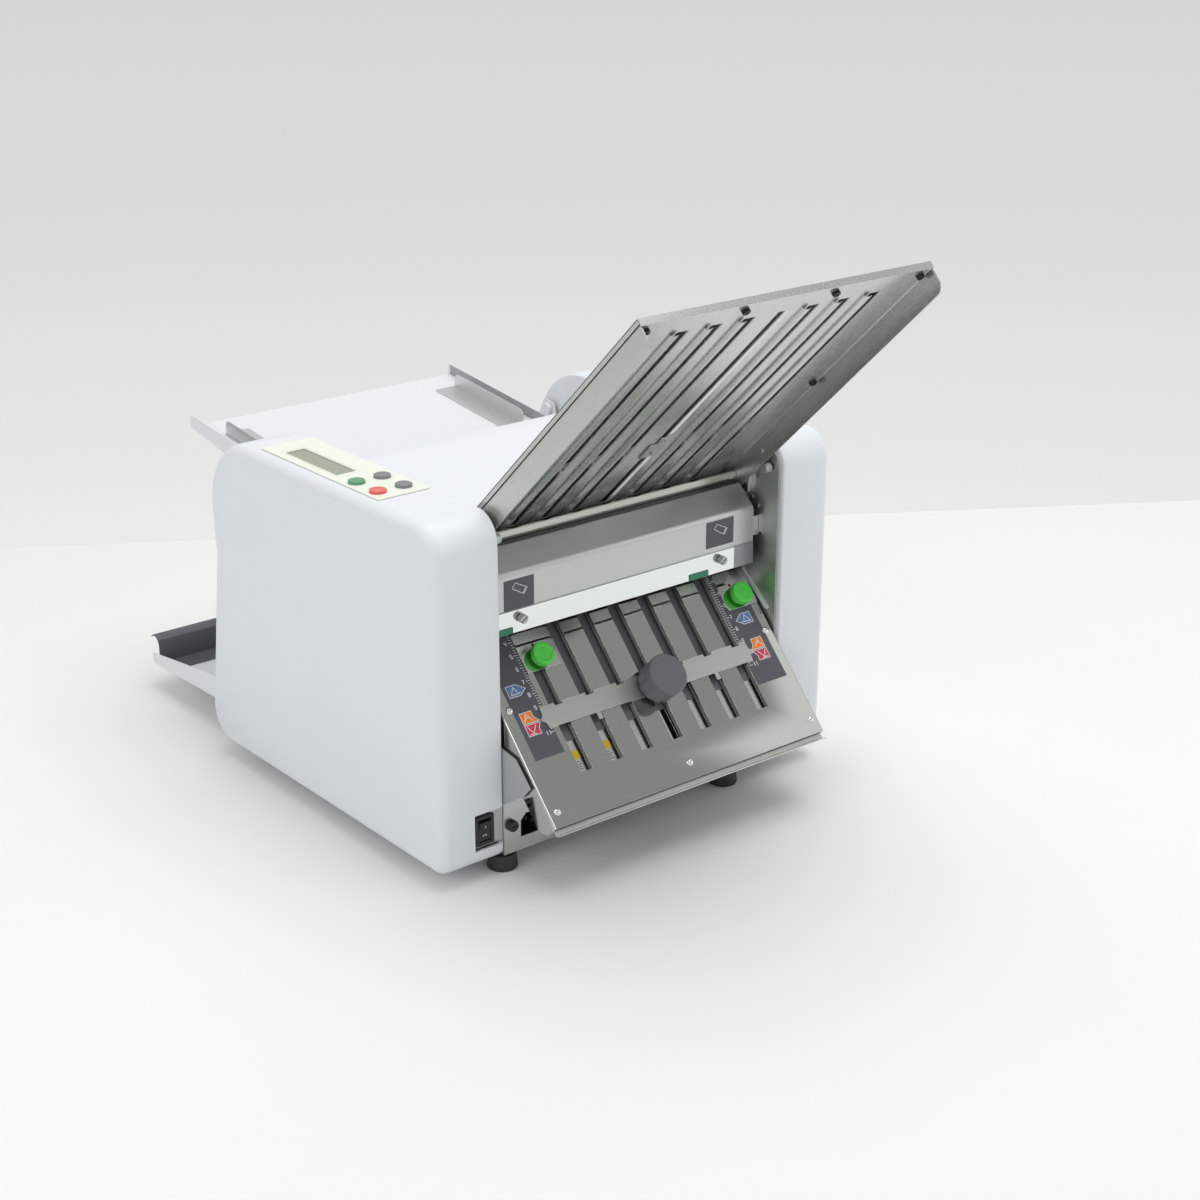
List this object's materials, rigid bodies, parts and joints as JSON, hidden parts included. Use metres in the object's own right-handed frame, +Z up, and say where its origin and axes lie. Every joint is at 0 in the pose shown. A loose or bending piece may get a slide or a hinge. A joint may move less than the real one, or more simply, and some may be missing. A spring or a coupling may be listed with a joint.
{
  "type": "paper folding machine",
  "caption": "Desk paper folder with two slotted fold plates, sliding stops, gear-driven rollers, a tilting feed table and a delivery tray.",
  "frame": {"origin": "middle of the bounding box's underside, on the surface that the feet stand on", "axes": "+Z up, -Y towards the fold plates at the front, +Y towards the feed table and the delivery tray, -X towards the housing with the control panel"},
  "size_m": [0.485, 0.8053, 0.5646],
  "materials": {
    "white_plastic": "white satin moulding",
    "brushed_steel": "brushed sheet steel",
    "frame_steel": "galvanised sheet steel",
    "polished_strip": "pale satin aluminium",
    "black_plastic": "black moulding",
    "knob_grey": "dark grey grip moulding",
    "dark_sheet": "dark grey painted sheet",
    "bright_green": "bright green moulding",
    "panel_cream": "pale printed panel",
    "display_olive": "dark olive display",
    "button_green": "muted green button",
    "button_red": "muted red button",
    "button_grey": "dark grey button",
    "rubber": "black rubber",
    "roller_rubber": "dark rubber roller",
    "gear_plastic": "moulded gear",
    "motor_steel": "dark plated steel",
    "zinc": "zinc-plated steel"
  },
  "bodies": {
    "machine": {"left_side_cover": "white_plastic", "right_side_cover": "white_plastic", "top_cover": "white_plastic", "rear_cover": "white_plastic", "left_pivot_bush": "white_plastic", "right_pivot_bush": "white_plastic", "delivery_tray": "white_plastic", "left_side_frame": "frame_steel", "right_side_frame": "frame_steel", "base_frame": "frame_steel", "front_roller_cover": "frame_steel", "front_left_foot": "rubber", "front_right_foot": "rubber", "rear_left_foot": "rubber", "rear_right_foot": "rubber", "feed_belt": "rubber", "exit_belt": "rubber", "drive_motor": "motor_steel", "feed_bed": "brushed_steel", "delivery_chute": "brushed_steel", "upper_plate_front": "brushed_steel", "upper_plate_back": "brushed_steel", "lower_plate_top": "brushed_steel", "lower_plate_bottom": "brushed_steel", "cover_strip": "polished_strip", "left_thumb_screw": "zinc", "right_thumb_screw": "zinc", "control_panel": "panel_cream", "display_window": "display_olive", "switch_body": "black_plastic", "power_inlet": "black_plastic", "fuse_holder": "black_plastic"},
    "upper_stop": {"upper_stop_bar": "brushed_steel"},
    "upper_knob": {"upper_stop_knob": "knob_grey"},
    "lower_stop": {"lower_stop_bar": "brushed_steel"},
    "lower_knob": {"lower_stop_knob": "knob_grey"},
    "left_bracket": {"left_slide_bracket": "polished_strip"},
    "right_bracket": {"right_slide_bracket": "polished_strip"},
    "left_clamp_knob": {"left_green_knob": "bright_green"},
    "right_clamp_knob": {"right_green_knob": "bright_green"},
    "start_key": {"start_button": "button_green"},
    "stop_key": {"stop_button": "button_red"},
    "minus_key": {"minus_button": "button_grey"},
    "plus_key": {"plus_button": "button_grey"},
    "rocker": {"power_rocker": "black_plastic"},
    "table": {"feed_table": "white_plastic"},
    "left_guide": {"left_side_guide": "brushed_steel"},
    "right_guide": {"right_side_guide": "brushed_steel"},
    "tray_stop": {"delivery_stop": "dark_sheet"},
    "roller_1": {"fold_roller_1": "roller_rubber", "fold_gear_1": "gear_plastic"},
    "roller_2": {"fold_roller_2": "roller_rubber", "fold_gear_2": "gear_plastic"},
    "roller_3": {"fold_roller_3": "roller_rubber", "fold_gear_3": "gear_plastic"},
    "roller_4": {"fold_roller_4": "roller_rubber", "drive_gear": "gear_plastic"},
    "pinion": {"motor_pinion": "motor_steel"},
    "feed_wheel": {"feed_roller": "roller_rubber"},
    "exit_wheel": {"exit_roller": "roller_rubber"}
  },
  "joints": [
    {"name": "upper_stop_slide", "type": "slide", "parent": "machine", "child": "upper_stop", "axis": [0, -0.7193, 0.6947], "range_m": [-0.038, 0.215]},
    {"name": "upper_knob_turn", "type": "hinge", "parent": "upper_stop", "child": "upper_knob", "pos_m": [0.0089, -0.20632, 0.38493], "axis": [0, 0.6947, 0.7193], "range_deg": [0, 270]},
    {"name": "lower_stop_slide", "type": "slide", "parent": "machine", "child": "lower_stop", "axis": [0, 0.682, 0.7314], "range_m": [-0.04, 0.024]},
    {"name": "lower_knob_turn", "type": "hinge", "parent": "lower_stop", "child": "lower_knob", "pos_m": [0.0059, -0.22086, 0.14838], "axis": [0, -0.7314, 0.682], "range_deg": [0, 270]},
    {"name": "left_bracket_slide", "type": "slide", "parent": "machine", "child": "left_bracket", "axis": [0, 0.682, 0.7314], "range_m": [-0.005, 0.005]},
    {"name": "right_bracket_slide", "type": "slide", "parent": "machine", "child": "right_bracket", "axis": [0, 0.682, 0.7314], "range_m": [-0.005, 0.005]},
    {"name": "left_green_knob_turn", "type": "hinge", "parent": "machine", "child": "left_clamp_knob", "pos_m": [-0.1016, -0.17964, 0.19199], "axis": [0, -0.7314, 0.682], "range_deg": [0, 180]},
    {"name": "right_green_knob_turn", "type": "hinge", "parent": "machine", "child": "right_clamp_knob", "pos_m": [0.1504, -0.17964, 0.19199], "axis": [0, -0.7314, 0.682], "range_deg": [0, 180]},
    {"name": "start_button_press", "type": "slide", "parent": "machine", "child": "start_key", "axis": [0, 0, -1], "range_m": [0, 0.0012], "stiffness_N_per_m": 300, "springref_m": -0.001},
    {"name": "stop_button_press", "type": "slide", "parent": "machine", "child": "stop_key", "axis": [0, 0, -1], "range_m": [0, 0.0012], "stiffness_N_per_m": 300, "springref_m": -0.001},
    {"name": "minus_button_press", "type": "slide", "parent": "machine", "child": "minus_key", "axis": [0, 0, -1], "range_m": [0, 0.0012], "stiffness_N_per_m": 300, "springref_m": -0.001},
    {"name": "plus_button_press", "type": "slide", "parent": "machine", "child": "plus_key", "axis": [0, 0, -1], "range_m": [0, 0.0012], "stiffness_N_per_m": 300, "springref_m": -0.001},
    {"name": "power_rocker_tilt", "type": "hinge", "parent": "machine", "child": "rocker", "pos_m": [-0.1911, -0.20736, 0.052], "axis": [1, 0, 0], "range_deg": [-16, 0]},
    {"name": "feed_table_tilt", "type": "hinge", "parent": "machine", "child": "table", "pos_m": [0.0029, 0.15663, 0.309], "axis": [1, 0, 0], "range_deg": [0, 35]},
    {"name": "left_guide_slide", "type": "slide", "parent": "table", "child": "left_guide", "axis": [1, 0, 0], "range_m": [-0.012, 0.09]},
    {"name": "right_guide_slide", "type": "slide", "parent": "table", "child": "right_guide", "axis": [-1, 0, 0], "range_m": [-0.012, 0.09]},
    {"name": "delivery_stop_slide", "type": "slide", "parent": "machine", "child": "tray_stop", "axis": [0, 0.9996, -0.0289], "range_m": [-0.12, 0]},
    {"name": "fold_roller_2_spin", "type": "hinge", "parent": "machine", "child": "roller_2", "pos_m": [0.0029, -0.12816, 0.27344], "axis": [1, 0, 0], "continuous": true},
    {"name": "fold_roller_1_spin", "type": "hinge", "parent": "machine", "child": "roller_1", "pos_m": [0.0029, -0.10037, 0.30222], "axis": [1, 0, 0], "continuous": true},
    {"name": "fold_roller_3_spin", "type": "hinge", "parent": "machine", "child": "roller_3", "pos_m": [0.0029, -0.09891, 0.24616], "axis": [1, 0, 0], "continuous": true},
    {"name": "fold_roller_4_spin", "type": "hinge", "parent": "machine", "child": "roller_4", "pos_m": [0.0029, -0.10858, 0.20735], "axis": [1, 0, 0], "continuous": true},
    {"name": "feed_roller_spin", "type": "hinge", "parent": "machine", "child": "feed_wheel", "pos_m": [0.0029, 0.00264, 0.30502], "axis": [1, 0, 0], "continuous": true},
    {"name": "exit_roller_spin", "type": "hinge", "parent": "machine", "child": "exit_wheel", "pos_m": [0.0029, 0.13264, 0.095], "axis": [1, 0, 0], "continuous": true},
    {"name": "motor_pinion_spin", "type": "hinge", "parent": "machine", "child": "pinion", "pos_m": [0.1929, -0.10858, 0.15135], "axis": [1, 0, 0], "continuous": true}
  ],
  "couplings": [
    {"joint": "fold_roller_1_spin", "follows": "fold_roller_2_spin", "ratio": -1},
    {"joint": "fold_roller_3_spin", "follows": "fold_roller_2_spin", "ratio": -1},
    {"joint": "fold_roller_4_spin", "follows": "fold_roller_2_spin", "ratio": 1},
    {"joint": "motor_pinion_spin", "follows": "fold_roller_2_spin", "ratio": -3.6667},
    {"joint": "feed_roller_spin", "follows": "fold_roller_2_spin", "ratio": -1},
    {"joint": "exit_roller_spin", "follows": "fold_roller_2_spin", "ratio": -1}
  ]
}
